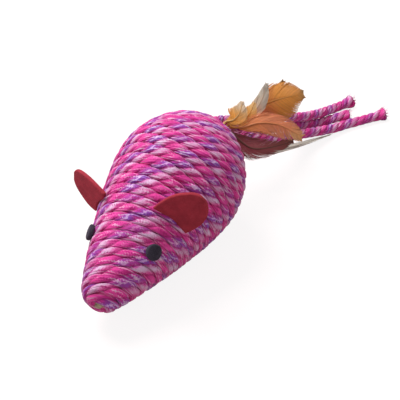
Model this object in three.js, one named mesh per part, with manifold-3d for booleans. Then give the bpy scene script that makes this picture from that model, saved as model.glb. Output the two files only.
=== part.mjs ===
// A cat's toy mouse: one twisted cotton cord wound over a hollow teardrop core, with felt ears and
// eyes, and a tail of three cord ends and eight dyed feathers held by a plug at the back.
// Millimetres, +Z up, nose towards -Y, tail towards +Y, the mouse's left towards +X.
// It lies on its belly: the origin is the middle of the flat under the turn that carries it.

import * as THREE from "three";
import { mergeVertices } from "three/addons/utils/BufferGeometryUtils.js";
import Module from "manifold-3d";

const wasm = await Module();
wasm.setup();

// Body
const bodyLength = 118;
const bodyDiameter = 63.4;
const noseRadius = 10.8;
const widestPlace = 80; // from the nose tip, along the axis
const flankAngle = THREE.MathUtils.degToRad(22.5); // of the snout's side to the axis
const snoutReach = 30; // how far the straight snout carries into the flank's curve
const shoulderReach = 14; // how far the widest place carries forward into it
const rearFullness = 1.88; // 2 is a plain ellipse, less is more pointed
const bodyTilt = THREE.MathUtils.degToRad(11); // the nose lies lower than the rear

// Cord
const cordDiameter = 5;
const woundCordDiameter = 4.8; // pressed in a little by the turns beside it
const windingGap = 0.5; // least gap between one turn and the next
const firstTurnReach = 4.7; // from the axis to the middle of the first turn, over the nose
const noseTuckDrop = 6; // how far the cord's start lies inside the first turn
const noseTuckTurns = 0.4; // how far round it swings on its way out
const rearTuckDrop = 4.6; // how far the cord's end sinks as it bends inwards
const rearTuckTurns = 0.066;
const rearTuckSlant = THREE.MathUtils.degToRad(17); // of the sunk end to the body's axis
const stepsPerTurn = 24;
const windingSides = 6;
const bellyFlatDepth = 0.5;

// Core and plug
const seatGap = 0.3; // between pieces that rest on each other
const coreWall = 1.6;
const coreNoseSetback = 10; // from the nose tip to the core's flat front
const plugNeckDiameter = 12.4;
const plugNeckLength = 6;
const plugFlangeDiameter = 17;
const plugClearance = 0.9; // round the flange, where the cord's end sinks beside it
const plugSetback = 1; // from the body's rear end to the plug's outer face
const coreRimWidth = 2;

// Rattle ball
const ballDiameter = 12;
const ballClearance = 0.4; // over the lowest line of the core's inside
const ballPlace = 74; // from the nose tip, along the axis

// Felt
const feltEdge = 0.4; // softened edges
const eyeDiameter = 7.2;
const eyeThickness = 1.9;
const eyePlace = 29.7; // from the nose tip, along the axis
const earLength = 20;
const earBaseWidth = 19;
const earWidth = 20;
const earWidestPlace = 6; // from the ear's base
const earThickness = 2;
const earTuck = 3; // how far the ear's blank runs on below its base line, before it is fitted
const earSeatGap = 0.6; // the ear's foot swings as the ear bends
const earPlace = 45.6; // from the nose tip, along the axis

// The eyes and ears were glued on by hand, so the two sides differ. Angles in degrees, round the
// axis from the top towards the mouse's left, then the ear's lean to the rear, slant and twist.
const eyeAngles = { left: 52, right: -61 };
const earPoses = {
  left: { around: 43, lean: 16, slant: 2, twist: 5 },
  right: { around: -61, lean: 22, slant: -21, twist: -8 },
};

// Tail: the three cords leave side by side and lie down on the surface behind.
const tailSpacing = 5.5; // between the middles of the cords at the plug
const tailSides = 8;
const tailStepLength = 8;
const tailStraight = 2.5; // how far a cord runs straight on out of its socket
const groundGap = 0.1; // under the cords where they lie on the ground
const tailFall = 35.66; // from the plug's face down to the cords' ends, as the ways below have it
const settleFrom = 45; // how far behind the plug the cords begin to keep to the ground instead
const settleTo = 80; // and how far behind it they lie on it
const socketDepth = 5;

// Feathers
const quillDiameter = 1.2;
const quillCircleDiameter = 15; // the quills stand round the cords
const quillDepth = 4;
const quillStraight = 3.5;
const stemStep = 4; // between the rings of a feather's bare stem
const bladeThickness = 0.7;
const bladeSteps = 12;
const bladeSides = 8;

// The way each tail cord runs behind the plug, from the middle of the plug's face: across, back
// and up.
const tailRoutes = {
  upper: [
    [2.3, 9.8, 0.7],
    [7.9, 15.4, -2.2],
    [13.5, 22.2, -4.3],
    [16.7, 34.3, -8.7],
    [18.8, 47.6, -14.2],
    [20.8, 54.5, -18.5],
    [24, 67.6, -24.7],
    [26.9, 80.5, -29.7],
    [31, 95.6, -33.7],
    [35.8, 108.9, -35.7],
  ],
  middle: [
    [-0.3, 10.5, -4.1],
    [5.2, 16.8, -7.7],
    [12.2, 24.2, -10.9],
    [16.2, 35.6, -15.5],
    [18.6, 48.2, -21.5],
    [21.6, 60.2, -27.2],
    [25.4, 72.7, -32.7],
    [29.6, 82.8, -35.6],
    [36.4, 92.3, -35.7],
    [39.7, 95.2, -35.7],
  ],
  lower: [
    [6.6, 4.7, -3],
    [10, 8.3, -5.4],
    [13.1, 13.7, -7.8],
    [17.2, 19.2, -11.3],
    [20.9, 26.7, -15.4],
    [23.9, 39, -20.8],
    [27, 53.3, -26.8],
    [32.8, 69, -32.4],
    [37.9, 79.4, -35],
    [41.5, 85.7, -35.6],
    [50.4, 97.4, -35.7],
    [56.8, 106, -35.7],
  ],
};

// Each feather: the turn of its hole round the plug, how far its bare stem stands out of it, the
// way it runs from the middle of the plug's face, its width, how its width goes from root to tip,
// and its dye. All face the same way and are cupped alike.
const roundShares = [0.1, 0.5, 0.8, 0.95, 1, 0.86, 0.24];
const leafShares = [0.1, 0.55, 0.9, 1, 0.8, 0.5, 0.12];
const rootShares = [0.3, 0.85, 1, 0.86, 0.64, 0.4, 0.12];
const spikeShares = [0.2, 0.5, 0.8, 1, 1, 0.75, 0.16];
const featherFacing = [0.37, -0.67, 0.64];
const featherCupShare = 0.12;
const feathers = {
  fan: {
    hole: 50,
    stem: 4,
    route: [
      [9.3, 3.2, 7.2],
      [11.2, 6.4, 10.1],
      [10.6, 10.6, 14.2],
    ],
    width: 9.6,
    widthShares: leafShares,
    dye: 0xcdb08a,
  },
  tuft: {
    hole: 66,
    stem: 6,
    route: [
      [10.7, 7.4, 5.1],
      [13.9, 10.9, 7],
      [14.8, 16.5, 11.5],
    ],
    width: 9.6,
    widthShares: leafShares,
    dye: 0xd28a35,
  },
  spike: {
    hole: 270,
    stem: 27,
    route: [
      [-2.2, 15.7, -6.1],
      [3.1, 23.5, -7.2],
      [8.7, 28.3, -3.9],
      [11.2, 34.4, 1.9],
      [11.2, 39.4, 8.8],
    ],
    width: 6.4,
    widthShares: spikeShares,
    dye: 0xc9b8a0,
  },
  point: {
    hole: 248,
    stem: 28,
    route: [
      [-2.8, 17.1, -9],
      [1.8, 26.8, -10.9],
      [7.1, 33.8, -9.6],
      [11.6, 41.9, -3.6],
      [15.9, 51.2, 5.2],
    ],
    width: 8.4,
    widthShares: spikeShares,
    dye: 0xc8822f,
  },
  broad: {
    hole: 226,
    stem: 36,
    route: [
      [-1.4, 16.7, -10.2],
      [3.7, 25.2, -11.2],
      [7.9, 33, -8.6],
      [11.8, 37.4, -3],
      [21, 41.3, 2],
      [29.4, 45.9, 4.4],
    ],
    width: 15.5,
    widthShares: roundShares,
    dye: 0xd99038,
  },
  salmon: {
    hole: 82,
    stem: 8,
    route: [
      [13.8, 4.5, 3.5],
      [20.5, 8.4, 6],
      [29.3, 12.7, 5.4],
      [41.9, 15.5, 0.4],
    ],
    width: 10,
    widthShares: roundShares,
    dye: 0xc87850,
  },
  brown: {
    hole: 98,
    stem: 3,
    route: [
      [13, 2.2, -2.3],
      [20.7, 2.4, -5.3],
      [29.1, 7.8, -5.2],
      [37.5, 15.4, -3.5],
    ],
    width: 12,
    widthShares: rootShares,
    dye: 0x6b3340,
  },
  cream: {
    hole: 146,
    stem: 12,
    route: [
      [12.4, 6.8, -10.7],
      [20.5, 16.6, -16.7],
      [32.3, 27.7, -16.5],
      [47.8, 41.5, -12.4],
    ],
    width: 3.2,
    widthShares: leafShares,
    dye: 0xcfc4b8,
  },
};

const cordPink = 0xd5479c;
const feltRed = 0x8e2b3c;
const feltBlack = 0x1c1d22;
const mouldedGrey = 0xb9b4ac;
const ballSteel = 0x9a9ca0;

function material(color, roughness, metalness = 0) {
  return new THREE.MeshStandardMaterial({ color, roughness, metalness });
}

function mesh(name, geometry, finish) {
  const made = new THREE.Mesh(geometry, finish);
  made.name = name;
  return made;
}

// Joins and cuts work on closed meshes with merged vertices.
function solidOf(geometry) {
  const bare = geometry.clone();
  bare.deleteAttribute("normal");
  bare.deleteAttribute("uv");
  const merged = mergeVertices(bare);
  return new wasm.Manifold(
    new wasm.Mesh({
      numProp: 3,
      vertProperties: merged.attributes.position.array,
      triVerts: new Uint32Array(merged.index.array),
    }),
  );
}

function geometryOf(solid) {
  const { vertProperties, triVerts } = solid.getMesh();
  const geometry = new THREE.BufferGeometry();
  geometry.setAttribute("position", new THREE.BufferAttribute(vertProperties, 3));
  geometry.setIndex(new THREE.BufferAttribute(triVerts, 1));
  geometry.computeVertexNormals();
  return geometry;
}

// The body's outline as points (distance from the axis, place along the axis), nose tip first:
// a round nose, one long curve up the flank, and a rear that rounds off.
function bodyOutline() {
  const noseEnd = Math.PI / 2 - flankAngle;
  const noseSteps = 14;
  const points = [];
  for (let i = 0; i <= noseSteps; i += 1) {
    const turn = (noseEnd * i) / noseSteps;
    points.push(new THREE.Vector2(noseRadius * Math.sin(turn), noseRadius * (1 - Math.cos(turn))));
  }
  const from = points[noseSteps];
  const widest = new THREE.Vector2(bodyDiameter / 2, widestPlace);
  const flank = new THREE.CubicBezierCurve(
    from,
    new THREE.Vector2(from.x + snoutReach * Math.tan(flankAngle), from.y + snoutReach),
    new THREE.Vector2(widest.x, widest.y - shoulderReach),
    widest,
  );
  points.push(...flank.getPoints(60).slice(1));
  const rearSteps = 48;
  for (let i = 1; i <= rearSteps; i += 1) {
    const along = Math.sin(((Math.PI / 2) * i) / rearSteps);
    const across = (1 - along ** rearFullness) ** (1 / rearFullness);
    points.push(
      new THREE.Vector2(widest.x * across, widest.y + (bodyLength - widestPlace) * along),
    );
  }
  return points;
}

const outline = bodyOutline();

// Outward normal of the outline at one of its points.
function outlineNormal(index) {
  const before = outline[Math.max(index - 1, 0)];
  const after = outline[Math.min(index + 1, outline.length - 1)];
  if (index === 0) return new THREE.Vector2(0, -1);
  if (index === outline.length - 1) return new THREE.Vector2(0, 1);
  return new THREE.Vector2(after.y - before.y, before.x - after.x).normalize();
}

// The outline moved inwards by a depth, or outwards by a negative one.
function inset(depth) {
  return outline.map((point, index) => point.clone().addScaledVector(outlineNormal(index), -depth));
}

// The place and outward normal at a distance run along a line of outline points.
function alongLine(line, distance) {
  let run = 0;
  for (let i = 1; i < line.length; i += 1) {
    const step = line[i].distanceTo(line[i - 1]);
    if (run + step >= distance || i === line.length - 1) {
      const share = (distance - run) / step;
      return {
        at: line[i - 1].clone().lerp(line[i], share),
        normal: outlineNormal(i - 1).lerp(outlineNormal(i), share).normalize(),
      };
    }
    run += step;
  }
  return null;
}

// The distance run along a line up to where it first passes a place along the axis.
function runToPlace(line, place) {
  let run = 0;
  for (let i = 1; i < line.length; i += 1) {
    const step = line[i].distanceTo(line[i - 1]);
    if (line[i].y >= place) {
      return run + (step * (place - line[i - 1].y)) / (line[i].y - line[i - 1].y);
    }
    run += step;
  }
  return run;
}

// The distance from the axis of a line at a place along the axis.
function alongPlace(line, place) {
  const next = line.findIndex((point) => point.y > place);
  const share = (place - line[next - 1].y) / (line[next].y - line[next - 1].y);
  return line[next - 1].x + share * (line[next].x - line[next - 1].x);
}

// The value of a list of shares at a share of the way along it.
function shareAt(shares, along) {
  const place = along * (shares.length - 1);
  const before = Math.min(Math.floor(place), shares.length - 2);
  return shares[before] + (place - before) * (shares[before + 1] - shares[before]);
}

// The distance run along a line up to where, past its widest, it narrows to a radius.
function runToRearRadius(line, radius) {
  let run = 0;
  for (let i = 1; i < line.length; i += 1) {
    const step = line[i].distanceTo(line[i - 1]);
    if (line[i].y > widestPlace && line[i].x <= radius) {
      return run + (step * (line[i - 1].x - radius)) / (line[i - 1].x - line[i].x);
    }
    run += step;
  }
  return run;
}

// A point or direction of the outline's plane, turned round the body's axis.
function roundAxis(point, angle) {
  return new THREE.Vector3(point.x * Math.sin(angle), point.y, point.x * Math.cos(angle));
}

// The winding: loops that climb along the body from the nose to the plug, at a steady rate.
const windingLine = inset(woundCordDiameter / 2);
const windingStart = firstTurnReach;
const windingEndRadius = (plugFlangeDiameter + woundCordDiameter) / 2 + plugClearance;
const windingRun = runToRearRadius(windingLine, windingEndRadius) - windingStart;
const windingTurns = Math.floor(windingRun / (woundCordDiameter + windingGap));
const windingPitch = windingRun / windingTurns;

function windingPoint(turn) {
  const { at, normal } = alongLine(windingLine, windingStart + windingPitch * turn);
  const angle = 2 * Math.PI * turn;
  return { at: roundAxis(at, angle), normal: roundAxis(normal, angle) };
}

// The start is tucked into the core's nose: it runs out along the axis, straight for one diameter,
// and then swings outwards into the first turn. The shares say how far round the swing has come.
function noseLead(first) {
  const reach = Math.hypot(first.x, first.z);
  const growth = windingPitch * noseTuckTurns; // of the reach, at the swing's end
  const steps = 10;
  const points = [new THREE.Vector3(0, first.y + noseTuckDrop + cordDiameter, 0)];
  for (let i = 0; i < steps; i += 1) {
    const share = i / steps;
    const distance = (3 * reach - growth) * share ** 2 + (growth - 2 * reach) * share ** 3;
    const place = first.y + noseTuckDrop * (1 - share) ** 2;
    const angle = 2 * Math.PI * noseTuckTurns * (share - 1);
    points.push(roundAxis(new THREE.Vector2(distance, place), angle));
  }
  return points;
}

// The end sinks beside the plug into the core's rear, at last straight for one diameter.
function rearTuck() {
  const steps = 8;
  const slant = new THREE.Vector2(-Math.sin(rearTuckSlant), -Math.cos(rearTuckSlant));
  const points = [];
  let inward = null;
  for (let i = 1; i <= steps; i += 1) {
    const share = i / steps;
    const turn = windingTurns + rearTuckTurns * share * (2 - share);
    inward = roundAxis(slant, 2 * Math.PI * turn);
    points.push(windingPoint(turn).at.addScaledVector(inward, rearTuckDrop * share ** 2));
  }
  points.push(points[steps - 1].clone().addScaledVector(inward, cordDiameter));
  return points;
}

// The route of the winding's middle line, with the outward direction at each point of the turns.
function windingRoute() {
  const loops = [];
  for (let i = 0; i <= windingTurns * stepsPerTurn; i += 1) {
    loops.push(windingPoint(i / stepsPerTurn));
  }
  const lead = noseLead(loops[0].at);
  const tuck = rearTuck();
  return {
    points: [...lead, ...loops.map((loop) => loop.at), ...tuck],
    outwards: [
      ...lead.map(() => null),
      ...loops.map((loop) => loop.normal),
      ...tuck.map(() => null),
    ],
  };
}

// A direction square to another, as near as can be to a wanted one.
function squareTo(direction, wanted) {
  return wanted.clone().addScaledVector(direction, -direction.dot(wanted)).normalize();
}

// A tube along points with a flat towards the outward side. Where a point has no outward
// direction, its neighbour's is carried on.
function tubeAlong(points, outwards, diameter, sides) {
  const last = points.length - 1;
  const directions = points.map((point, index) =>
    points[Math.min(index + 1, last)].clone().sub(points[Math.max(index - 1, 0)]).normalize(),
  );
  const known = outwards.findIndex((outward) => outward);
  const tops = [...outwards];
  for (let i = known; i >= 0; i -= 1) tops[i] = squareTo(directions[i], tops[i] ?? tops[i + 1]);
  for (let i = known; i <= last; i += 1) tops[i] = squareTo(directions[i], tops[i] ?? tops[i - 1]);
  const positions = [];
  points.forEach((point, index) => {
    const across = directions[index].clone().cross(tops[index]);
    for (let side = 0; side < sides; side += 1) {
      const turn = (2 * Math.PI * (side + 1 / 2)) / sides;
      const corner = point
        .clone()
        .addScaledVector(tops[index], (diameter / 2) * Math.cos(turn))
        .addScaledVector(across, -(diameter / 2) * Math.sin(turn));
      positions.push(corner.x, corner.y, corner.z);
    }
  });
  return closedSkin(positions, sides);
}

// A closed skin over rings of points, with flat ends.
function closedSkin(positions, sides) {
  const faces = [];
  const last = positions.length / (3 * sides) - 1;
  for (let ring = 0; ring < last; ring += 1) {
    for (let side = 0; side < sides; side += 1) {
      const a = ring * sides + side;
      const b = ring * sides + ((side + 1) % sides);
      faces.push(a, a + sides, b, b, a + sides, b + sides);
    }
  }
  for (let side = 1; side < sides - 1; side += 1) {
    faces.push(0, side, side + 1);
    faces.push(last * sides, last * sides + side + 1, last * sides + side);
  }
  const geometry = new THREE.BufferGeometry();
  geometry.setAttribute("position", new THREE.Float32BufferAttribute(positions, 3));
  geometry.setIndex(faces);
  return geometry;
}

// The least gap between two stretches of a tube that aren't neighbours along it.
function leastGap(points, diameter) {
  const runs = [0];
  points.forEach((point, index) => {
    if (index) runs.push(runs[index - 1] + point.distanceTo(points[index - 1]));
  });
  let least = Infinity;
  for (let i = 0; i < points.length; i += 1) {
    for (let j = i + 1; j < points.length; j += 1) {
      if (runs[j] - runs[i] > diameter * 2.2) {
        least = Math.min(least, points[i].distanceTo(points[j]) - diameter);
      }
    }
  }
  return least;
}

// A lathe round the body's axis from points (distance from the axis, place along it).
function latheSolid(points, segments) {
  return solidOf(new THREE.LatheGeometry(points, segments));
}

function rod(diameter, from, to, sides) {
  const axis = new THREE.LineCurve3(from, to);
  const circle = new THREE.Shape();
  circle.absarc(0, 0, diameter / 2, 0, 2 * Math.PI);
  return solidOf(
    new THREE.ExtrudeGeometry(circle, { extrudePath: axis, steps: 1, curveSegments: sides }),
  );
}

function thinned(line, count) {
  const step = (line.length - 1) / count;
  return Array.from({ length: count + 1 }, (_, i) => line[Math.round(i * step)]);
}

const route = windingRoute();
const windingSkin = tubeAlong(route.points, route.outwards, woundCordDiameter, windingSides);
console.log(
  `winding: ${windingTurns} turns, pitch ${windingPitch.toFixed(2)} mm, ` +
    `least gap to itself ${leastGap(route.points, woundCordDiameter).toFixed(2)} mm`,
);

// The body lies tilted, its lowest turn a flat's depth below the surface it rests on, and the
// origin is put under the middle of that turn.
const tilted = new THREE.Matrix4().makeRotationX(bodyTilt);
const flatReach = (woundCordDiameter / 2) * Math.cos(Math.PI / windingSides);
const undersides = Array.from({ length: windingTurns }, (_, turn) => {
  const { at, normal } = windingPoint(turn + 1 / 2);
  return at.addScaledVector(normal, flatReach).applyMatrix4(tilted);
});
const lowest = undersides.reduce((low, point) => (point.z < low.z ? point : low));
const skinBox = new THREE.Box3().setFromBufferAttribute(
  windingSkin.clone().applyMatrix4(tilted).attributes.position,
);
const bodyPlace = tilted
  .clone()
  .setPosition(0, -lowest.y, -skinBox.min.z - bellyFlatDepth);

function placed(geometry) {
  return geometry.clone().applyMatrix4(bodyPlace);
}

// A point of the body's own frame: across, along the axis from the nose, and up from the axis.
function bodyPoint(x, y, z) {
  return new THREE.Vector3(x, y, z).applyMatrix4(bodyPlace);
}

const surface = solidOf(
  new THREE.BoxGeometry(bodyLength * 2, bodyLength * 2, bodyLength).translate(
    0,
    0,
    -bodyLength / 2,
  ),
);
const winding = geometryOf(solidOf(placed(windingSkin)).subtract(surface));

// Core: two moulded halves with a seam on the middle plane, open at the nose for the cord's start
// and at the rear for the plug.
const coreDepth = woundCordDiameter + seatGap;
const plugNeck = plugNeckDiameter / 2;
const mouth = plugNeck + seatGap;
const leadHole = woundCordDiameter / 2 + seatGap;
const coreOuter = thinned(inset(coreDepth), 40).filter(
  (point) => point.y > coreNoseSetback && (point.y < widestPlace || point.x > mouth + coreRimWidth),
);
const coreInner = thinned(inset(coreDepth + coreWall), 30).filter(
  (point) =>
    point.y > coreNoseSetback + coreWall && (point.y < widestPlace || point.x > mouth),
);
const coreRear = coreOuter[coreOuter.length - 1];
const innerRear = coreInner[coreInner.length - 1];
const coreFront = coreOuter[0];
const coreProfile = [
  new THREE.Vector2(leadHole, coreNoseSetback),
  new THREE.Vector2(coreFront.x, coreNoseSetback),
  ...coreOuter.slice(1),
  new THREE.Vector2(mouth, coreRear.y),
  new THREE.Vector2(mouth, innerRear.y),
  ...coreInner.slice(0, -1).reverse(),
  new THREE.Vector2(leadHole, coreInner[0].y),
  new THREE.Vector2(leadHole, coreNoseSetback),
];
const tuckLength = 20;
const tuckHoleSides = 12;
const tuckHole = solidOf(
  tubeAlong(
    route.points.slice(-tuckLength),
    route.outwards.slice(-tuckLength),
    (woundCordDiameter + 2 * seatGap) / Math.cos(Math.PI / tuckHoleSides),
    tuckHoleSides,
  ),
);
const core = latheSolid(coreProfile, 36).subtract(tuckHole);

function coreHalf(side) {
  const block = new THREE.BoxGeometry(bodyDiameter, bodyLength * 2, bodyDiameter * 2);
  block.translate((side * (bodyDiameter + seatGap)) / 2, bodyLength / 2, 0);
  return placed(geometryOf(core.intersect(solidOf(block))));
}

// Plug: a bung with a flange. Three sockets hold the cords, and a ring of holes the quills.
const flange = plugFlangeDiameter / 2;
const plugFace = bodyLength - plugSetback;
const plugSeat = coreRear.y + seatGap;
const plugProfile = [
  new THREE.Vector2(0, plugSeat - plugNeckLength),
  new THREE.Vector2(plugNeck, plugSeat - plugNeckLength),
  new THREE.Vector2(plugNeck, plugSeat),
  new THREE.Vector2(flange, plugSeat),
  new THREE.Vector2(flange, plugFace),
  new THREE.Vector2(0, plugFace),
];
const cordCircle = tailSpacing / Math.sqrt(3); // radius of the circle through the three cords
const cordSockets = { upper: 0, middle: (Math.PI * 4) / 3, lower: (Math.PI * 2) / 3 };

// A point of the plug: a distance and a turn round the axis, and a height above its outer face.
function plugPoint(distance, angle, height) {
  return roundAxis(new THREE.Vector2(distance, plugFace + height), angle);
}

function plugHole(diameter, distance, angle, depth) {
  const mouthPoint = plugPoint(distance, angle, depth);
  return rod(diameter, mouthPoint, plugPoint(distance, angle, -depth), 12);
}

let plug = latheSolid(plugProfile, 36);
for (const angle of Object.values(cordSockets)) {
  plug = plug.subtract(plugHole(cordDiameter + 2 * seatGap, cordCircle, angle, socketDepth));
}
for (const { hole } of Object.values(feathers)) {
  const angle = THREE.MathUtils.degToRad(hole);
  const diameter = quillDiameter + 2 * seatGap;
  plug = plug.subtract(plugHole(diameter, quillCircleDiameter / 2, angle, quillDepth));
}

// A point behind the plug. Near the plug it keeps its place to it, and farther back it keeps its
// height over the ground.
const tailRoot = plugPoint(0, 0, 0).applyMatrix4(bodyPlace);
const tailRise = tailFall + cordDiameter / 2 + groundGap - tailRoot.z;

function tailPoint([across, back, up]) {
  const settled = tailRise * THREE.MathUtils.smoothstep(back, settleFrom, settleTo);
  return tailRoot.clone().add(new THREE.Vector3(across, back, up + settled));
}

// Tail cord: from its socket, straight out along the axis, and down its own way.
function tailCord(which) {
  const angle = cordSockets[which];
  const leave = [seatGap - socketDepth, 0, tailStraight].map((height) =>
    plugPoint(cordCircle, angle, height).applyMatrix4(bodyPlace),
  );
  const rest = tailRoutes[which].map(tailPoint);
  const path = new THREE.CatmullRomCurve3([...leave, ...rest], false, "centripetal");
  const circle = new THREE.Shape();
  circle.absarc(0, 0, cordDiameter / 2, 0, 2 * Math.PI);
  const steps = Math.ceil(path.getLength() / tailStepLength);
  console.log(`tail cord ${which}: ${path.getLength().toFixed(1)} mm`);
  return new THREE.ExtrudeGeometry(circle, {
    extrudePath: path,
    steps,
    curveSegments: tailSides / 2,
  });
}

// Ball: it rests low in the core.
const coreFloor = bodyPoint(0, ballPlace, -alongPlace(coreInner, ballPlace)).z;
const ballHeight = coreFloor + ballClearance + ballDiameter / 2;
const ball = new THREE.SphereGeometry(ballDiameter / 2, 20, 12);
ball.translate(0, bodyPoint(0, ballPlace, 0).y, ballHeight);

// The frame of something glued to the body: the surface point, the outward direction, the one
// round the body and the one along it.
function surfaceFrame(place, angle) {
  const { at, normal } = alongLine(outline, runToPlace(outline, place));
  const outward = roundAxis(normal, angle);
  const round = new THREE.Vector3(Math.cos(angle), 0, -Math.sin(angle));
  const radial = roundAxis(new THREE.Vector2(1, 0), angle);
  return { at: roundAxis(at, angle), outward, round, radial };
}

// Eye: a punched felt disc with softened edges.
function eye(side) {
  const half = eyeDiameter / 2;
  const soft = feltEdge;
  const profile = [
    new THREE.Vector2(0, 0),
    new THREE.Vector2(half - soft, 0),
    new THREE.Vector2(half, soft),
    new THREE.Vector2(half, eyeThickness - soft),
    new THREE.Vector2(half - soft, eyeThickness),
    new THREE.Vector2(0, eyeThickness),
  ];
  const { at, outward } = surfaceFrame(eyePlace, THREE.MathUtils.degToRad(eyeAngles[side]));
  const disc = new THREE.LatheGeometry(profile, 24);
  const turn = new THREE.Quaternion().setFromUnitVectors(new THREE.Vector3(0, 1, 0), outward);
  const matrix = new THREE.Matrix4().makeRotationFromQuaternion(turn).setPosition(at);
  return placed(disc.applyMatrix4(matrix));
}

// Ear: a flat D of felt that stands on its straight edge, cut at the foot to the body's round.
function earShape() {
  const shape = new THREE.Shape();
  const base = earBaseWidth / 2;
  const wide = earWidth / 2;
  const rise = 6;
  const sweep = 20;
  const edge = [new THREE.Vector2(base, -earTuck), new THREE.Vector2(base, 0)];
  for (let i = 1; i <= rise; i += 1) {
    const share = i / rise;
    const half = base + (wide - base) * Math.sin((Math.PI / 2) * share);
    edge.push(new THREE.Vector2(half, earWidestPlace * share));
  }
  for (let i = 1; i <= sweep; i += 1) {
    const turn = ((Math.PI / 2) * i) / sweep;
    const up = earWidestPlace + (earLength - earWidestPlace) * Math.sin(turn);
    edge.push(new THREE.Vector2(wide * Math.cos(turn), up));
  }
  const other = edge
    .slice(0, -1)
    .reverse()
    .map((point) => new THREE.Vector2(-point.x, point.y));
  shape.setFromPoints([...edge.slice(0, -1), new THREE.Vector2(0, earLength), ...other]);
  return shape;
}

const bodyEnvelope = solidOf(
  placed(
    new THREE.LatheGeometry(
      [
        new THREE.Vector2(0, outline[0].y - earSeatGap),
        ...thinned(inset(-earSeatGap), 60).slice(1, -1),
        new THREE.Vector2(0, bodyLength + earSeatGap),
      ],
      72,
    ),
  ),
);

function earFrame(side) {
  const { around, lean, slant, twist } = earPoses[side];
  const turn = THREE.MathUtils.degToRad;
  const { at, round, radial } = surfaceFrame(earPlace, turn(around));
  const axis = new THREE.Vector3(0, 1, 0);
  const base = round
    .clone()
    .multiplyScalar(Math.cos(turn(twist)))
    .addScaledVector(axis, Math.sin(turn(twist)));
  const upright = radial
    .clone()
    .multiplyScalar(Math.cos(turn(lean)))
    .addScaledVector(axis, Math.sin(turn(lean)));
  const rise = upright
    .clone()
    .multiplyScalar(Math.cos(turn(slant)))
    .addScaledVector(base, Math.sin(turn(slant)));
  const width = squareTo(rise, base);
  return { at, rise, width, face: width.clone().cross(rise) };
}

function ear(side) {
  const { at, rise, width, face } = earFrame(side);
  const blank = new THREE.ExtrudeGeometry(earShape(), {
    depth: earThickness - 2 * feltEdge,
    bevelThickness: feltEdge,
    bevelSize: feltEdge,
    bevelOffset: -feltEdge,
    bevelSegments: 1,
    steps: 1,
  });
  blank.translate(0, 0, feltEdge - earThickness / 2);
  const matrix = new THREE.Matrix4().makeBasis(width, rise, face).setPosition(at);
  return geometryOf(solidOf(placed(blank.applyMatrix4(matrix))).subtract(bodyEnvelope));
}

// Feather: a quill that stands in its hole and runs on as a bare stem, and a thin cupped blade that
// widens from it and closes to the tip. The widths are shares of the feather's own width.
function feather({ hole, stem, route: way, width, widthShares }) {
  const angle = THREE.MathUtils.degToRad(hole);
  const leave = [seatGap - quillDepth, 0, quillStraight].map((height) =>
    plugPoint(quillCircleDiameter / 2, angle, height).applyMatrix4(bodyPlace),
  );
  const path = new THREE.CatmullRomCurve3([...leave, ...way.map(tailPoint)], false, "centripetal");
  const facing = new THREE.Vector3(...featherFacing);
  const bladeStart = (quillDepth + stem) / path.getLength();
  const stemSteps = Math.ceil((quillDepth + stem) / stemStep);
  const shares = [];
  for (let i = 0; i < stemSteps; i += 1) shares.push((bladeStart * i) / stemSteps);
  for (let i = 0; i <= bladeSteps; i += 1) {
    shares.push(THREE.MathUtils.lerp(bladeStart, 1, i / bladeSteps));
  }
  const positions = [];
  shares.forEach((share, ring) => {
    const at = path.getPointAt(share);
    const direction = path.getTangentAt(share);
    const top = squareTo(direction, facing);
    const across = direction.clone().cross(top);
    const bladeRing = ring - stemSteps;
    const spread = width * shareAt(widthShares, Math.max(bladeRing, 0) / bladeSteps);
    const half = (bladeRing > 0 ? Math.max(quillDiameter, spread) : quillDiameter) / 2;
    const thick = (bladeRing > 0 ? bladeThickness : quillDiameter) / 2;
    const cup = bladeRing > 0 ? featherCupShare * half : 0;
    for (let side = 0; side < bladeSides; side += 1) {
      const turn = (2 * Math.PI * side) / bladeSides;
      const out = half * Math.cos(turn);
      const lift = thick * Math.sin(turn) - cup * Math.cos(turn) ** 2;
      const corner = at.clone().addScaledVector(across, out).addScaledVector(top, lift);
      positions.push(corner.x, corner.y, corner.z);
    }
  });
  return closedSkin(positions, bladeSides);
}

const cordFinish = material(cordPink, 0.85);
const tailFinish = material(cordPink, 0.85);
const redFelt = material(feltRed, 0.95);
const blackFelt = material(feltBlack, 0.95);
const moulded = material(mouldedGrey, 0.6);
const steel = material(ballSteel, 0.3, 1);

const toy = new THREE.Group();
toy.add(
  mesh("body_winding", winding, cordFinish),
  mesh("core_left_shell", coreHalf(1), moulded),
  mesh("core_right_shell", coreHalf(-1), moulded),
  mesh("tail_plug", placed(geometryOf(plug)), moulded),
  mesh("rattle_ball", ball, steel),
  mesh("eye_left", eye("left"), blackFelt),
  mesh("eye_right", eye("right"), blackFelt),
  mesh("ear_left", ear("left"), redFelt),
  mesh("ear_right", ear("right"), redFelt),
);
for (const which of Object.keys(cordSockets)) {
  toy.add(mesh(`tail_cord_${which}`, tailCord(which), tailFinish));
}
for (const [which, made] of Object.entries(feathers)) {
  toy.add(mesh(`feather_${which}`, feather(made), material(made.dye, 0.8)));
}

export default toy;
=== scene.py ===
from math import cos, radians, sin

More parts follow.
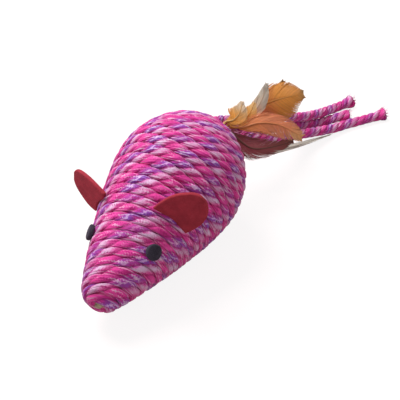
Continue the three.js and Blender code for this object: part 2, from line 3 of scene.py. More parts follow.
import bpy
import numpy as np
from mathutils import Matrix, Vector


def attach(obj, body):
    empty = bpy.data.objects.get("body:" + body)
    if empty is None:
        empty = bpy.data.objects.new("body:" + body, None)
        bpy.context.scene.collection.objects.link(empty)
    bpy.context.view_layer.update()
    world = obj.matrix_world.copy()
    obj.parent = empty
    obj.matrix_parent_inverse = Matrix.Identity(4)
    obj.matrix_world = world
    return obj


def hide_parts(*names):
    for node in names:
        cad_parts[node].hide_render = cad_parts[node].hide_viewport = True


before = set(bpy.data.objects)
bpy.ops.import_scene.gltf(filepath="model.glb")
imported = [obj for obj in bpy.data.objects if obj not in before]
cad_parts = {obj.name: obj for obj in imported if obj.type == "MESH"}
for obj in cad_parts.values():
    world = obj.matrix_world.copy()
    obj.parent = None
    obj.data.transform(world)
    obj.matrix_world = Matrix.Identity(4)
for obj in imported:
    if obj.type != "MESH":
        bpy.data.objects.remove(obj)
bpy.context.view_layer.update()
mm = 0.001
floorGap = 0.12 * mm  # what lies on the ground is pressed flat this far above it


def linearColour(hexColour):
    # each sRGB channel c becomes c / 12.92 below 0.04045, else ((c + 0.055) / 1.055) ** 2.4
    channels = [int(hexColour[i : i + 2], 16) / 255 for i in (1, 3, 5)]
    return tuple([c / 12.92 if c <= 0.04045 else ((c + 0.055) / 1.055) ** 2.4 for c in channels] + [1.0])


def addNode(material, kind, inputs=(), stops=(), **settings):
    # inputs give each socket a value, another node's socket, or a node, for its first output;
    # stops are the places and colours of a colour ramp
    node = material.node_tree.nodes.new("ShaderNode" + kind)
    for name, value in settings.items():
        setattr(node, name, value)
    for key, value in dict(inputs).items():
        if isinstance(value, bpy.types.Node):
            value = value.outputs[0]
        if isinstance(value, bpy.types.NodeSocket):
            material.node_tree.links.new(value, node.inputs[key])
        else:
            node.inputs[key].default_value = value
    for index, (place, colour) in enumerate(stops):
        ramp = node.color_ramp.elements
        element = ramp[index] if index < 2 else ramp.new(place)
        element.position, element.color = place, linearColour(colour)
    return node


def newMaterial(name):
    material = bpy.data.materials.new(name)
    material.use_nodes = True
    material.node_tree.nodes.clear()
    return material


def finishMaterial(material, shader):
    addNode(material, "OutputMaterial", {"Surface": shader})
    return material


def unit(vectors):
    return vectors / np.maximum(np.linalg.norm(vectors, axis=-1, keepdims=True), 1e-12)


def squareTo(direction, wanted):
    # the part of a wanted direction that is square to another, as a unit vector: w - d (d . w)
    return unit(wanted - direction * np.sum(direction * wanted, axis=-1, keepdims=True))


def runAlong(line):
    # how far along a line each of its points lies
    return np.concatenate([[0], np.cumsum(np.linalg.norm(np.diff(line, axis=0), axis=1))])


def readAt(places, run, rows):
    # rows of values known at the places in run, read at other places, straight between two of them
    return np.stack([np.interp(places, run, column) for column in rows.T], -1)


def movingMean(values, count):
    # each value becomes the mean of the count values round it, the ends going on as they are
    return np.convolve(np.pad(values, count // 2, mode="edge"), np.full(count, 1 / count), mode="valid")


def waves(place, seed, lengths):
    # smooth, repeatable unevenness from -1 to 1: a mean of sines of the given wavelengths
    random = np.random.default_rng(seed)
    total = sum(np.sin(2 * np.pi * place / length + random.uniform(0, 6.28)) for length in lengths)
    return total / len(lengths)


def throughPoints(points, spacing):
    # cubics from point to point with shared slopes, a gap counting as the root of its length
    p = np.vstack([2 * points[0] - points[1], points, 2 * points[-1] - points[-2]])
    knots = np.maximum(np.linalg.norm(np.diff(p, axis=0), axis=1), 1e-9) ** 0.5
    d0, d1, d2 = knots[:-2, None], knots[1:-1, None], knots[2:, None]
    p0, p1, p2, p3 = p[:-3], p[1:-2], p[2:-1], p[3:]
    m1 = ((p1 - p0) / d0 - (p2 - p0) / (d0 + d1) + (p2 - p1) / d1) * d1
    m2 = ((p2 - p1) / d1 - (p3 - p1) / (d1 + d2) + (p3 - p2) / d2) * d1
    steps = 40
    t = (np.arange(steps) / steps)[None, :, None]
    a, b, c, d = (x[:, None, :] for x in (p1, p2, m1, m2))
    line = a * (2 * t**3 - 3 * t**2 + 1) + c * (t**3 - 2 * t**2 + t)
    line = line + b * (3 * t**2 - 2 * t**3) + d * (t**3 - t**2)
    line = np.vstack([line.reshape(-1, 3), p2[-1:]])
    run = runAlong(line)
    even = np.linspace(0, run[-1], int(round(run[-1] / spacing)) + 1)
    return readAt(even, run, line), even


def addObject(name, data):
    made = bpy.data.objects.new(name, data)
    bpy.context.scene.collection.objects.link(made)
    return made


def meshObject(name, points, corners, sizes, uv):
    mesh = bpy.data.meshes.new(name)
    mesh.vertices.add(len(points))
    mesh.vertices.foreach_set("co", np.ascontiguousarray(points, dtype=np.float32).ravel())
    mesh.loops.add(len(corners))
    mesh.loops.foreach_set("vertex_index", corners.astype(np.int32))
    mesh.polygons.add(len(sizes))
    mesh.polygons.foreach_set("loop_start", (np.cumsum(sizes) - sizes).astype(np.int32))
    layer = mesh.uv_layers.new(name="lay")
    layer.data.foreach_set("uv", uv.astype(np.float32).ravel())
    mesh.update(calc_edges=True)
    mesh.validate()
    mesh.shade_smooth()
    return addObject(name, mesh)


def gridMesh(name, grid, uv):
    # a skin over a row of closed rings, with a fan from each end ring to its middle point
    rows, columns = grid.shape[:2]
    points = grid.reshape(-1, 3)
    i, k = np.meshgrid(np.arange(rows - 1), np.arange(columns), indexing="ij")
    here, there, nextK = i * columns, (i + 1) * columns, (k + 1) % columns
    quads = np.stack([here + k, there + k, there + nextK, here + nextK], -1)
    quadUvs = np.stack([uv[i, k], uv[i + 1, k], uv[i + 1, k + 1], uv[i, k + 1]], 2)
    faces, sizes, uvs = [quads.ravel()], [np.full(quads.size // 4, 4)], [quadUvs.reshape(-1, 2)]
    ring = np.arange(columns)
    for row in (0, rows - 1):
        middle = np.full(columns, len(points))
        points = np.vstack([points, grid[row].mean(axis=0)])
        centre = np.tile(uv[row].mean(axis=0), (columns, 1))
        a, b = row * columns + ring, row * columns + (ring + 1) % columns
        near, far = uv[row, ring], uv[row, ring + 1]
        if row > 0:  # the far end faces the other way
            a, b, near, far = b, a, far, near
        faces.append(np.stack([a, b, middle], -1).ravel())
        sizes.append(np.full(columns, 3))
        uvs.append(np.stack([near, far, centre], 1).reshape(-1, 2))
    return meshObject(name, points, np.concatenate(faces), np.concatenate(sizes), np.vstack(uvs))


def tubes(grid, uv):
    # many closed tubes at once: side faces between rings, and a flat face on each end
    count, rows, columns = grid.shape[:3]
    index = np.arange(count * rows * columns).reshape(count, rows, columns)
    turned = np.roll(index, -1, axis=2)
    quads = np.stack([index[:, :-1], index[:, 1:], turned[:, 1:], turned[:, :-1]], -1).reshape(-1)
    ends = np.concatenate([index[:, 0].reshape(-1), index[:, -1, ::-1].reshape(-1)])
    sizes = np.concatenate([np.full(len(quads) // 4, 4), np.full(2 * count, columns)])
    corners = np.concatenate([quads, ends])
    return grid.reshape(-1, 3), corners, sizes, uv.reshape(-1, 2)[corners]


def joined(parts):
    # several meshes as one: the corners of each count on from the points before it
    points, corners, sizes, uvs = zip(*parts)
    starts = np.cumsum([0] + [len(p) for p in points[:-1]])
    corners = [c + start for c, start in zip(corners, starts)]
    return [np.concatenate(arrays) for arrays in (points, corners, sizes, uvs)]


# Camera: the photograph's view of the toy, from above the mouse's left cheek.
photoView = {
    "target": (0, -6.98 * mm, 24.16 * mm),
    "azimuth": radians(28.6),
    "elevation": radians(39.8),
    "distance": 0.48,
    "lens": 91.58,
    "sensor": 36,
    "shift": (0.0919, 0.0246),
}


def makeCamera(view):
    a, e = view["azimuth"], view["elevation"]
    back = Vector((sin(a) * cos(e), -cos(a) * cos(e), sin(e)))
    data = bpy.data.cameras.new("photo_camera")
    data.lens, data.sensor_width = view["lens"], view["sensor"]
    data.shift_x, data.shift_y = view["shift"]
    camera = addObject("photo_camera", data)
    camera.location = Vector(view["target"]) + back * view["distance"]
    camera.rotation_mode = "QUATERNION"
    camera.rotation_quaternion = (-back).to_track_quat("-Z", "Y")
    bpy.context.scene.camera = camera


makeCamera(photoView)
print("camera placed")

# Twisted cord: three plies of soft yarn laid into a rope. The body and the tail share its colours: dyes, and
# a painted highlight on one ply.
cordPalette = {
    # round the rope: the three plies' dyes, and at 0.15 to 0.18 a painted highlight, a pale lilac line along
    # the middle of the purple ply
    "plies": [
        (0, "#CC3CA0"), (0.035, "#A441AA"), (0.08, "#8C48B4"), (0.13, "#944EBA"), (0.15, "#E2B8EC"),
        (0.18, "#D2A0E2"), (0.195, "#9848B2"), (0.25, "#A63AA2"), (0.305, "#CE349A"), (0.38, "#E63A9E"),
        (0.48, "#F94EAE"), (0.57, "#F244A2"), (0.65, "#E23892"), (0.72, "#E44C9E"), (0.77, "#EA82BE"),
        (0.82, "#E8B4DA"), (0.88, "#EAC6E6"), (0.925, "#E2A2D4"), (0.965, "#DA64B2"), (1, "#CC3CA0"),
    ],
    "paleYarn": "#FAD2EE",
    "deepYarn": "#BC1C76",
    "spaceDye": "#DC3C98",
    "core": "#B9AE8E",
    "coreShade": "#7C7254",
    "yarns": 15,  # round the rope, drawn about three times as coarse as the real ones so that they show
    "yarnReach": 24,  # mm of cord in which a yarn falls behind its ply by a whole turn
    "streaksPerMm": 0.09,  # streaks of colour run 7 to 14 mm along their yarns
    "bathsPerMm": 0.045,  # a stretch of one dye bath is about 22 mm long
}
cordShape = {
    "plies": 3,
    "swell": 0.035,  # of the radius, uneven along each ply, at the wavelengths below
    "swellLengths": (17.3 * mm, 7.1 * mm, 11.7 * mm),
    "plyShift": 11 * mm,  # from one ply's swells to the next one's
}


def ropeSurface(centres, outwards, run, rope):
    # point(i, k) = centre + press r c(angle) n + spread r s(angle) n x t, where angle = 2 pi (k / sides
    # + twist), r = radius (1 - groove |2 f - 1| ** 3) with f the place across a ply, and c and s are
    # the cosine and sine to the power 2 / box with their sign kept: a box of 2 is a plain circle
    def perRing(key, usual):
        return np.broadcast_to(rope.get(key, usual), len(run))[:, None]

    tangents = unit(np.gradient(centres, axis=0))
    normals = squareTo(tangents, outwards)
    across = np.cross(normals, tangents)
    k, plies = np.arange(rope["sides"]), cordShape["plies"]
    acrossPly = np.mod(plies * k / rope["sides"], 1)
    angle = 2 * np.pi * (k[None, :] / rope["sides"] + rope["twist"][:, None])
    uneven = run[:, None] + cordShape["plyShift"] * (plies * k // rope["sides"])[None, :]
    swell = 1 + cordShape["swell"] * waves(uneven, rope["seed"], cordShape["swellLengths"])
    radius = rope["radius"] * (1 - rope["groove"] * np.abs(2 * acrossPly - 1) ** 3) * swell
    power = 2 / perRing("box", 2)
    cosine, sine = (np.sign(f(angle)) * np.abs(f(angle)) ** power for f in (np.cos, np.sin))
    high = radius * perRing("press", 1) * cosine
    wide = radius * perRing("spread", 1) * sine
    grid = centres[:, None] + high[..., None] * normals[:, None] + wide[..., None] * across[:, None]
    grid[..., 2] = np.maximum(grid[..., 2], floorGap)
    columns = np.arange(rope["sides"] + 1) / rope["sides"]
    return grid, np.stack(np.broadcast_arrays(run[:, None] / mm, columns[None, :]), -1)


def cordMaterial(name, coreFrom, coreTo):
    # dyed soft-spun cotton and viscose cord: matt with a silky sheen, yarns show as fine ridges
    palette = cordPalette
    cord = newMaterial(name)
    split = addNode(cord, "SeparateXYZ", {0: addNode(cord, "UVMap", uv_map="lay")})
    along, across = split.outputs[:2]
    drift = addNode(cord, "Math", {0: along, 1: palette["yarns"] / palette["yarnReach"]}, operation="MULTIPLY")
    yarn = addNode(cord, "Math", {0: across, 1: palette["yarns"], 2: drift}, operation="MULTIPLY_ADD")
    slow = addNode(cord, "Math", {0: along, 1: palette["streaksPerMm"]}, operation="MULTIPLY")
    place = addNode(cord, "CombineXYZ", {0: yarn, 1: slow})
    streak = addNode(cord, "TexNoise", {"Vector": place, "Scale": 0.8, "Detail": 2.5, "Roughness": 0.65})
    fine = addNode(cord, "TexNoise", {"Vector": place, "Scale": 1.7, "Detail": 1.0})
    # the dyes, and the painted highlight line on the purple ply, stray to either side of a ply's edge, as the
    # yarns do
    stray = addNode(cord, "Math", {0: streak, 1: -0.5}, operation="ADD")
    strayed = addNode(cord, "Math", {0: stray, 1: 0.24, 2: across}, operation="MULTIPLY_ADD")
    turned = addNode(cord, "Math", {0: strayed}, operation="FRACT")
    dyeAndPaintedLight = addNode(cord, "ValToRGB", {0: turned}, stops=palette["plies"])
    # the yarn is space-dyed: over stretches of it the pale ply takes on pink
    stretch = addNode(cord, "Math", {0: along, 1: palette["bathsPerMm"]}, operation="MULTIPLY")
    bathPlace = addNode(cord, "CombineXYZ", {0: stretch, 1: across})
    bath = addNode(cord, "TexNoise", {"Vector": bathPlace, "Scale": 1.0, "Detail": 1.0})
    bathShare = addNode(cord, "MapRange", {0: bath, 1: 0.42, 2: 0.66, 4: 0.6})
    pink = linearColour(palette["spaceDye"])
    bathed = addNode(cord, "Mix", {0: bathShare, 6: dyeAndPaintedLight, 7: pink}, data_type="RGBA")
    # pale yarns lie here and there in the dark plies, deep ones in the pale ply
    pale, deep = linearColour(palette["paleYarn"]), linearColour(palette["deepYarn"])
    paleShare = addNode(cord, "MapRange", {0: fine, 1: 0.56, 2: 0.66, 4: 0.6})
    withPale = addNode(cord, "Mix", {0: paleShare, 6: bathed.outputs[2], 7: pale}, data_type="RGBA")
    deepShare = addNode(cord, "MapRange", {0: fine, 1: 0.45, 2: 0.35, 3: 0.0, 4: 0.75})
    withDeep = addNode(cord, "Mix", {0: deepShare, 6: withPale.outputs[2], 7: deep}, data_type="RGBA")
    # grooves between plies lie in shade
    ply = addNode(cord, "Math", {0: across, 1: float(cordShape["plies"])}, operation="MULTIPLY")
    folded = addNode(cord, "Math", {0: ply, 1: 0.5}, operation="PINGPONG")
    groove = addNode(cord, "MapRange", {0: folded, 1: 0.0, 2: 0.1, 3: 0.6, 4: 1.0})
    tone = addNode(cord, "MapRange", {0: streak, 1: 0.3, 2: 0.7, 3: 0.8, 4: 1.08})
    colour = withDeep
    for shade in (groove, tone):
        multiplied = {0: 1.0, 6: colour.outputs[2], 7: shade}
        colour = addNode(cord, "Mix", multiplied, data_type="RGBA", blend_type="MULTIPLY")
    # undyed core yarns show where the cord is cut
    coreShare = addNode(cord, "MapRange", {0: along, 1: coreFrom, 2: coreTo})
    dark, light = linearColour(palette["coreShade"]), linearColour(palette["core"])
    core = addNode(cord, "Mix", {0: tone, 6: dark, 7: light}, data_type="RGBA")
    cut = {0: coreShare, 6: colour.outputs[2], 7: core.outputs[2]}
    colour = addNode(cord, "Mix", cut, data_type="RGBA")
    ridge = addNode(cord, "Math", {0: yarn, 1: 0.5}, operation="PINGPONG")
    height = addNode(cord, "Math", {0: fine, 1: 1.6, 2: ridge}, operation="MULTIPLY_ADD")
    bump = addNode(cord, "Bump", {"Strength": 0.9, "Distance": 0.3 * mm, "Height": height})
    shader = addNode(cord, "BsdfPrincipled", {
        "Base Color": colour.outputs[2], "Roughness": 0.65, "Specular IOR Level": 0.2,
        "Sheen Weight": 0.1, "Sheen Roughness": 0.4, "Normal": bump,
    })
    return finishMaterial(cord, shader)


# Body: a teardrop of revolution, nose arc, flank and rear, tilted nose down.
body = {
    "length": 118 * mm,
    "diameter": 63.4 * mm,
    "noseRadius": 10.8 * mm,
    "widestPlace": 80 * mm,
    "flankAngle": radians(22.5),
    "snoutReach": 30 * mm,
    "shoulderReach": 14 * mm,
    "rearFullness": 1.88,
    "tilt": radians(11),
    "noseTip": np.array([0, -70.694, 15.932]) * mm,
    "steps": (60, 200, 240),  # points on the nose, the flank and the rear
}


def bodyOutline(b):
    # (distance from the axis, place along it): a nose arc, a cubic flank with handles lead and follow,
    # and the quarter of |x / X| ** f + |y / Y| ** f = 1, as one line of points with outward normals
    noseSteps, flankSteps, rearSteps = b["steps"]
    turn = np.linspace(0, np.pi / 2 - b["flankAngle"], noseSteps)
    nose = b["noseRadius"] * np.column_stack([np.sin(turn), 1 - np.cos(turn)])
    start, end = nose[-1], np.array([b["diameter"] / 2, b["widestPlace"]])
    lead = start + b["snoutReach"] * np.array([np.tan(b["flankAngle"]), 1])
    follow = end - np.array([0, b["shoulderReach"]])
    t = np.linspace(0, 1, flankSteps)[1:, None]
    flank = (1 - t) ** 3 * start + 3 * t * (1 - t) ** 2 * lead + 3 * t**2 * (1 - t) * follow + t**3 * end
    along = np.sin(np.linspace(0, np.pi / 2, rearSteps)[1:])
    across = (1 - along ** b["rearFullness"]) ** (1 / b["rearFullness"])
    rear = np.column_stack([end[0] * across, end[1] + (b["length"] - end[1]) * along])
    line = np.vstack([nose, flank, rear])
    slope = np.gradient(line, axis=0)
    normal = unit(np.column_stack([slope[:, 1], -slope[:, 0]]))
    normal[0], normal[-1] = (0, -1), (0, 1)
    return line, normal


def inBody(points):
    # from the body's own frame (across, along the axis, up from it) to the part's
    c, s = cos(body["tilt"]), sin(body["tilt"])
    return points @ np.array([[1, 0, 0], [0, c, s], [0, -s, c]]) + body["noseTip"]


def turnInBody(vectors):
    return inBody(vectors) - body["noseTip"]


def roundAxis(flat, angle):
    # a point (distance, place) of the outline's plane, turned round the body's axis
    distance, place = flat[..., 0], flat[..., 1]
    return np.stack([distance * np.sin(angle), place * np.ones_like(angle), distance * np.cos(angle)], -1)


# Winding: the cord laid round the body from the nose to the tail plug.
winding = {
    "radius": 2.72 * mm,
    "groove": 0.2,
    "sides": 24,
    "seed": 3,
    "press": 0.94,
    "depth": 2.45 * mm,
    "startReach": 2 * mm,
    "firstReach": 4.1 * mm,
    "noseTurns": 0.72,
    "noseDrop": 2.4 * mm,
    "endTurn": 25.065,
    "endRadius": 11.5 * mm,  # from here on the turns close up round the plug
    "rearSlowing": 0.2,  # and keep this share of their pitch
    "rearTurns": 0.045,
    "rearDrop": 6.5 * mm,
    "ringSpacing": 1.25 * mm,
    "samples": 60000,
    "coreShows": (4.5, 2.5),  # mm from the cut start at the nose, none and full
    # a turn is a little wider than the space that it has, within these shares of its radius
    "overlap": 1.06,
    "spreads": (0.7, 1.3),
    # in mm along the inset outline: how far apart the turns lie, drawn tight over the snout, and how
    # far they lean towards the nose on one flank
    "pitch": [(0, 4.8), (20, 4.5), (32, 3.9), (44, 3.9), (56, 4.4), (68, 5.1), (78, 5.4), (150, 5.5)],
    "slant": [
        (0, 0), (8, 2.4), (18, 4.6), (28, 5.0), (38, 3.4), (50, 0.6), (62, -2.0), (72, -3.8), (90, -5.6),
        (104, -6.4), (114, -5.2), (124, -2.4), (134, 0.8), (140, 2), (150, 2),
    ],
    "slantAngle": radians(25),
    # mm of cord to a whole twist, fewer twists over the snout, where the turns are also pressed square
    "lead": [(0, 23), (40, 23), (56, 19), (70, 16.2), (150, 16)],
    "boxes": [(0, 3.4), (20, 4.2), (45, 4.4), (60, 3.6), (80, 2.7), (150, 2.5)],
    # hand-wound: how far a turn strays aside and in depth, the seed and the wavelengths
    "stray": (0.2 * mm, 5, (83 * mm, 47 * mm, 131 * mm)),
    "heave": (0.1 * mm, 6, (61 * mm, 37 * mm, 17 * mm)),
}


def smoothTable(table, places):
    # straight lines between the table's rows of (place in mm, value), softened over 6 mm
    step, count = 0.5, 13
    known, values = np.array(table).T
    fine = np.arange(0, known[-1] + step, step)
    return np.interp(places, fine * mm, movingMean(np.interp(fine, known, values), count))


def turnReach(w, n):
    # reach(n) where dn = d reach / pitch, plus slant sin(2 pi n - angle): hand-laid turns lean
    step = 0.25
    places = np.arange(0, w["pitch"][-1][0], step) * mm
    turns = np.cumsum(np.where(places > w["firstReach"], step / smoothTable(w["pitch"], places), 0))
    firstPitch = w["pitch"][0][1] * mm
    reach = np.where(n < 0, w["firstReach"] + n * firstPitch, np.interp(n, turns, places))
    return reach + smoothTable(w["slant"], reach) * mm * np.sin(2 * np.pi * n - w["slantAngle"])


def windingRoute(w):
    # turn n of the cord runs along the inset outline at its reach, at the angle 2 pi n, and both
    # ends drop into the core: early and late go from 0 to 1 over the first and the last stretch
    line, normal = bodyOutline(body)
    line = line - w["depth"] * normal
    run = runAlong(line)
    last = run[np.argmax((line[:, 1] > body["widestPlace"]) & (line[:, 0] <= w["endRadius"]))]
    n = np.linspace(-w["noseTurns"], w["endTurn"], w["samples"])
    early = np.clip(1 + n / w["noseTurns"], 0, 1)
    late = np.clip(1 + (n - w["endTurn"]) / w["rearTurns"], 0, 1)
    start = w["startReach"] + (turnReach(w, 0 * n) - w["startReach"]) * early
    reach = np.where(n < 0, start, turnReach(w, n))
    reach = np.minimum(reach, last + (reach - last) * w["rearSlowing"])
    spacing = (turnReach(w, n + 1) - turnReach(w, n - 1)) / 2
    out = readAt(reach, run, normal)
    drop = w["noseDrop"] * (1 - early) ** 2 + w["rearDrop"] * late**2
    flat = readAt(reach, run, line) - out * drop[:, None]
    centres, outwards = roundAxis(flat, 2 * np.pi * n), roundAxis(out, 2 * np.pi * n)
    path = runAlong(centres)
    even = np.linspace(0, path[-1], int(path[-1] / w["ringSpacing"]))
    centres, outwards = readAt(even, path, centres), unit(readAt(even, path, outwards))
    aside = np.cross(outwards, unit(np.gradient(centres, axis=0)))
    for direction, (size, seed, lengths) in ((aside, w["stray"]), (outwards, w["heave"])):
        centres = centres + direction * (size * waves(even, seed, lengths))[:, None]
    reach, spacing = np.interp(even, path, reach), np.interp(even, path, spacing)
    return inBody(centres), turnInBody(outwards), even, reach, spacing


def makeWinding(w):
    # the rope's surface along that route, each turn as wide as its neighbours leave room for
    centres, outwards, run, reach, spacing = windingRoute(w)
    rope = dict(
        w,
        spread=np.clip(w["overlap"] * spacing / 2 / w["radius"], *w["spreads"]),
        twist=np.cumsum(np.gradient(run) / (smoothTable(w["lead"], reach) * mm)),
        box=smoothTable(w["boxes"], reach),
    )
    piece = gridMesh("wound_cord", *ropeSurface(centres, outwards, run, rope))
    piece.data.materials.append(cordMaterial("wound twisted cotton cord", *w["coreShows"]))
    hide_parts("body_winding")
    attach(piece, "toy_body")
    print("winding laid:", len(run), "rings,", round(run[-1], 3), "m of cord")


makeWinding(winding)

# Tail: three cut ends of the same cord, from their sockets in the plug down to the ground.
tail = {
    "diameter": 5 * mm,
    "rope": {"radius": 2.66 * mm, "lead": 14 * mm, "groove": 0.2, "sides": 24, "seed": 11},
    "flare": 0.42,
    "flareLength": 6.5 * mm,
    "coreShows": (0.1, 0.6),  # mm past the cord's end, so on the frayed yarns alone
    "ringSpacing": 0.7 * mm,
    "fray": {
        "yarns": 90, "steps": 7, "length": 3.2 * mm, "shortest": 0.35, "spread": 0.35, "curl": 0.5,
        "thickness": 0.16 * mm, "taper": 0.6, "coreShare": 0.5, "seed": 40,
        "root": 1.2 * mm,  # how far inside the cord the yarns start
        "fill": 0.92,  # of the flared end's radius
    },
}
# each one's middle line, from the bottom of its socket to its cut end
tailRoutes = {
    "upper": [
        (0, 0.038937, 0.040477), (0, 0.043551, 0.041374), (0, 0.046005, 0.041851), (0.0023, 0.054, 0.039),
        (0.0079, 0.0596, 0.0361), (0.0135, 0.0664, 0.034), (0.0167, 0.0785, 0.0296),
        (0.0188, 0.0918, 0.0241), (0.0208, 0.0987, 0.0198), (0.024, 0.1118, 0.0136),
        (0.0269, 0.1247, 0.0086), (0.031, 0.1398, 0.0046), (0.0358, 0.1531, 0.0026),
    ],
    "middle": [
        (-0.00275, 0.039846, 0.035802), (-0.00275, 0.04446, 0.036699), (-0.00275, 0.046914, 0.037176),
        (-0.0003, 0.0547, 0.0342), (0.0052, 0.061, 0.0306), (0.0122, 0.0684, 0.0274),
        (0.0162, 0.0798, 0.0228), (0.0186, 0.0924, 0.0168), (0.0216, 0.1044, 0.0111),
        (0.0254, 0.1169, 0.0056), (0.0296, 0.127, 0.0027), (0.0364, 0.1365, 0.0026),
        (0.0397, 0.1394, 0.0026),
    ],
    "lower": [
        (0.00275, 0.039846, 0.035802), (0.00275, 0.04446, 0.036699), (0.00275, 0.046914, 0.037176),
        (0.0066, 0.0489, 0.0353), (0.01, 0.0525, 0.0329), (0.0131, 0.0579, 0.0305),
        (0.0172, 0.0634, 0.027), (0.0209, 0.0709, 0.0229), (0.0239, 0.0832, 0.0175),
        (0.027, 0.0975, 0.0115), (0.0328, 0.1132, 0.0059), (0.0379, 0.1236, 0.0033),
        (0.0415, 0.1299, 0.0027), (0.0504, 0.1416, 0.0026), (0.0568, 0.1502, 0.0026),
    ],
}


def makeTailCord(which, route):
    # the rope's surface along its route, opened out by flare (1 - d / flareLength) ** 1.6 at a
    # distance d from its cut end
    centres, run = throughPoints(np.array(route), tail["ringSpacing"])
    up = np.tile([0.0, 0.0, 1.0], (len(run), 1))
    opening = np.clip(1 - (run[-1] - run) / tail["flareLength"], 0, 1)
    flare = 1 + tail["flare"] * opening**1.6
    rope = dict(tail["rope"], twist=run / tail["rope"]["lead"], press=flare, spread=flare)
    piece = gridMesh("tail_cord_" + which + "_rope", *ropeSurface(centres, up, run, rope))
    coreShows = [run[-1] / mm + past for past in tail["coreShows"]]
    cotton = cordMaterial("twisted cotton cord, " + which + " end", *coreShows)
    piece.data.materials.append(cotton)
    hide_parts("tail_cord_" + which)
    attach(piece, "toy_body")
    makeFray(which, centres, run[-1], up[-1], cotton)


def makeFray(which, centres, length, up, cotton):
    # yarn j starts at (r, turn) on the cut face and runs r(s) = r + spread s ** 1.5 outwards, with
    # its own curl; those near the middle are the undyed core
    f, rope = tail["fray"], tail["rope"]
    random = np.random.default_rng(len(which) + f["seed"])
    count = f["yarns"]
    ahead = unit(centres[-1] - centres[-3])
    normal = squareTo(ahead, up)
    aside = np.cross(normal, ahead)
    radius = rope["radius"] * (1 + tail["flare"])
    share = np.sqrt(random.uniform(0, 1, count))
    turn = random.uniform(0, 2 * np.pi, count)
    s = np.linspace(0, 1, f["steps"])[None, :]
    reach = f["length"] * random.uniform(f["shortest"], 1, (count, 1))
    r = radius * f["fill"] * share[:, None] + reach * f["spread"] * share[:, None] * s**1.5
    angle = turn[:, None] + f["curl"] * s * random.uniform(-1, 1, (count, 1))
    line = centres[-1] + ahead * (reach * s - f["root"])[..., None]
    line = line + normal * (r * np.cos(angle))[..., None] + aside * (r * np.sin(angle))[..., None]
    heading = unit(np.gradient(line, axis=1))
    side = squareTo(heading, aside)
    third = np.cross(heading, side)
    ring = (np.arange(4) * np.pi / 2)[:, None]
    thick = f["thickness"] * (1 - f["taper"] * s)[..., None, None]
    grid = line[:, :, None] + thick * (np.cos(ring) * side[:, :, None] + np.sin(ring) * third[:, :, None])
    grid[..., 2] = np.maximum(grid[..., 2], floorGap)
    # a yarn has the dye of the ply that it leaves, or lies past the end where the core's colour is
    along = np.where(share > f["coreShare"], length / mm - 1, length / mm + 1)
    across = np.mod(turn / (2 * np.pi) - length / rope["lead"], 1)
    uv = np.broadcast_to(np.stack([along, across], -1)[:, None, None], grid.shape[:3] + (2,))
    piece = meshObject("frayed_yarns_" + which, *tubes(grid, uv))
    piece.data.materials.append(cotton)
    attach(piece, "toy_body")


for which, route in tailRoutes.items():
    makeTailCord(which, route)
print("tail cords laid")


# Felt: ears and eyes cut from pressed wool felt and glued to the winding.
def feltMaterial(name, light, dark, edge):
    # pressed wool felt: matt, cloudy in tone over 4 mm, with fibres 0.4 mm apart that lie every way,
    # and a painted highlight in the edge colour on curls of 0.7 mm, where fibres would catch the light
    felt = newMaterial(name)
    glintAndSheen = linearColour(edge)
    place = addNode(felt, "TexCoord").outputs["Object"]
    cloud = addNode(felt, "TexNoise", {"Vector": place, "Scale": 260.0, "Detail": 4.0, "Roughness": 0.65})
    fibre = addNode(felt, "TexNoise", {"Vector": place, "Scale": 2600.0, "Detail": 3.0, "Distortion": 1.4})
    cells = {"Vector": place, "Scale": 1500.0, "Randomness": 1.0}
    curl = addNode(felt, "TexVoronoi", cells, feature="DISTANCE_TO_EDGE")
    tone = addNode(felt, "Math", {0: fibre, 1: 0.5, 2: cloud}, operation="MULTIPLY_ADD")
    colour = addNode(felt, "ValToRGB", {0: tone}, stops=[(0.45, dark), (0.95, light)])
    # painted highlight: the curls' edges take the pale edge colour as if lit, and the same colour tints the
    # sheen
    strand = addNode(felt, "MapRange", {0: curl, 1: 0.0, 2: 0.06, 3: 0.35, 4: 0.0})
    lit = addNode(felt, "Mix", {0: strand, 6: colour, 7: glintAndSheen}, data_type="RGBA")
    height = addNode(felt, "Math", {0: strand, 1: 0.6, 2: fibre}, operation="MULTIPLY_ADD")
    bump = addNode(felt, "Bump", {"Strength": 0.6, "Distance": 0.25 * mm, "Height": height})
    shader = addNode(felt, "BsdfPrincipled", {
        "Base Color": lit.outputs[2], "Roughness": 0.95, "Specular IOR Level": 0.2,
        "Sheen Weight": 0.35, "Sheen Roughness": 0.6, "Sheen Tint": glintAndSheen, "Normal": bump,
    })
    return finishMaterial(felt, shader)


def surfaceFrame(place, angle):
    # a point of the outline at a place along the axis, its outward normal, and the directions away
    # from and round the axis there
    line, normal = bodyOutline(body)
    at = np.array([np.interp(place, line[:, 1], line[:, 0]), place])
    out = unit(readAt(place, line[:, 1], normal))
    turn = np.array(angle)
    around = np.array([cos(angle), 0, -sin(angle)])
    return roundAxis(at, turn), roundAxis(out, turn), roundAxis(np.array([1.0, 0.0]), turn), around


eyes = {
    "radius": 3.75 * mm,
    "thickness": 1.9 * mm,
    "softEdge": 0.75 * mm,
    "swell": 0.25 * mm,
    "place": 29.7 * mm,
    "angles": {"left": radians(52), "right": radians(-61)},
}


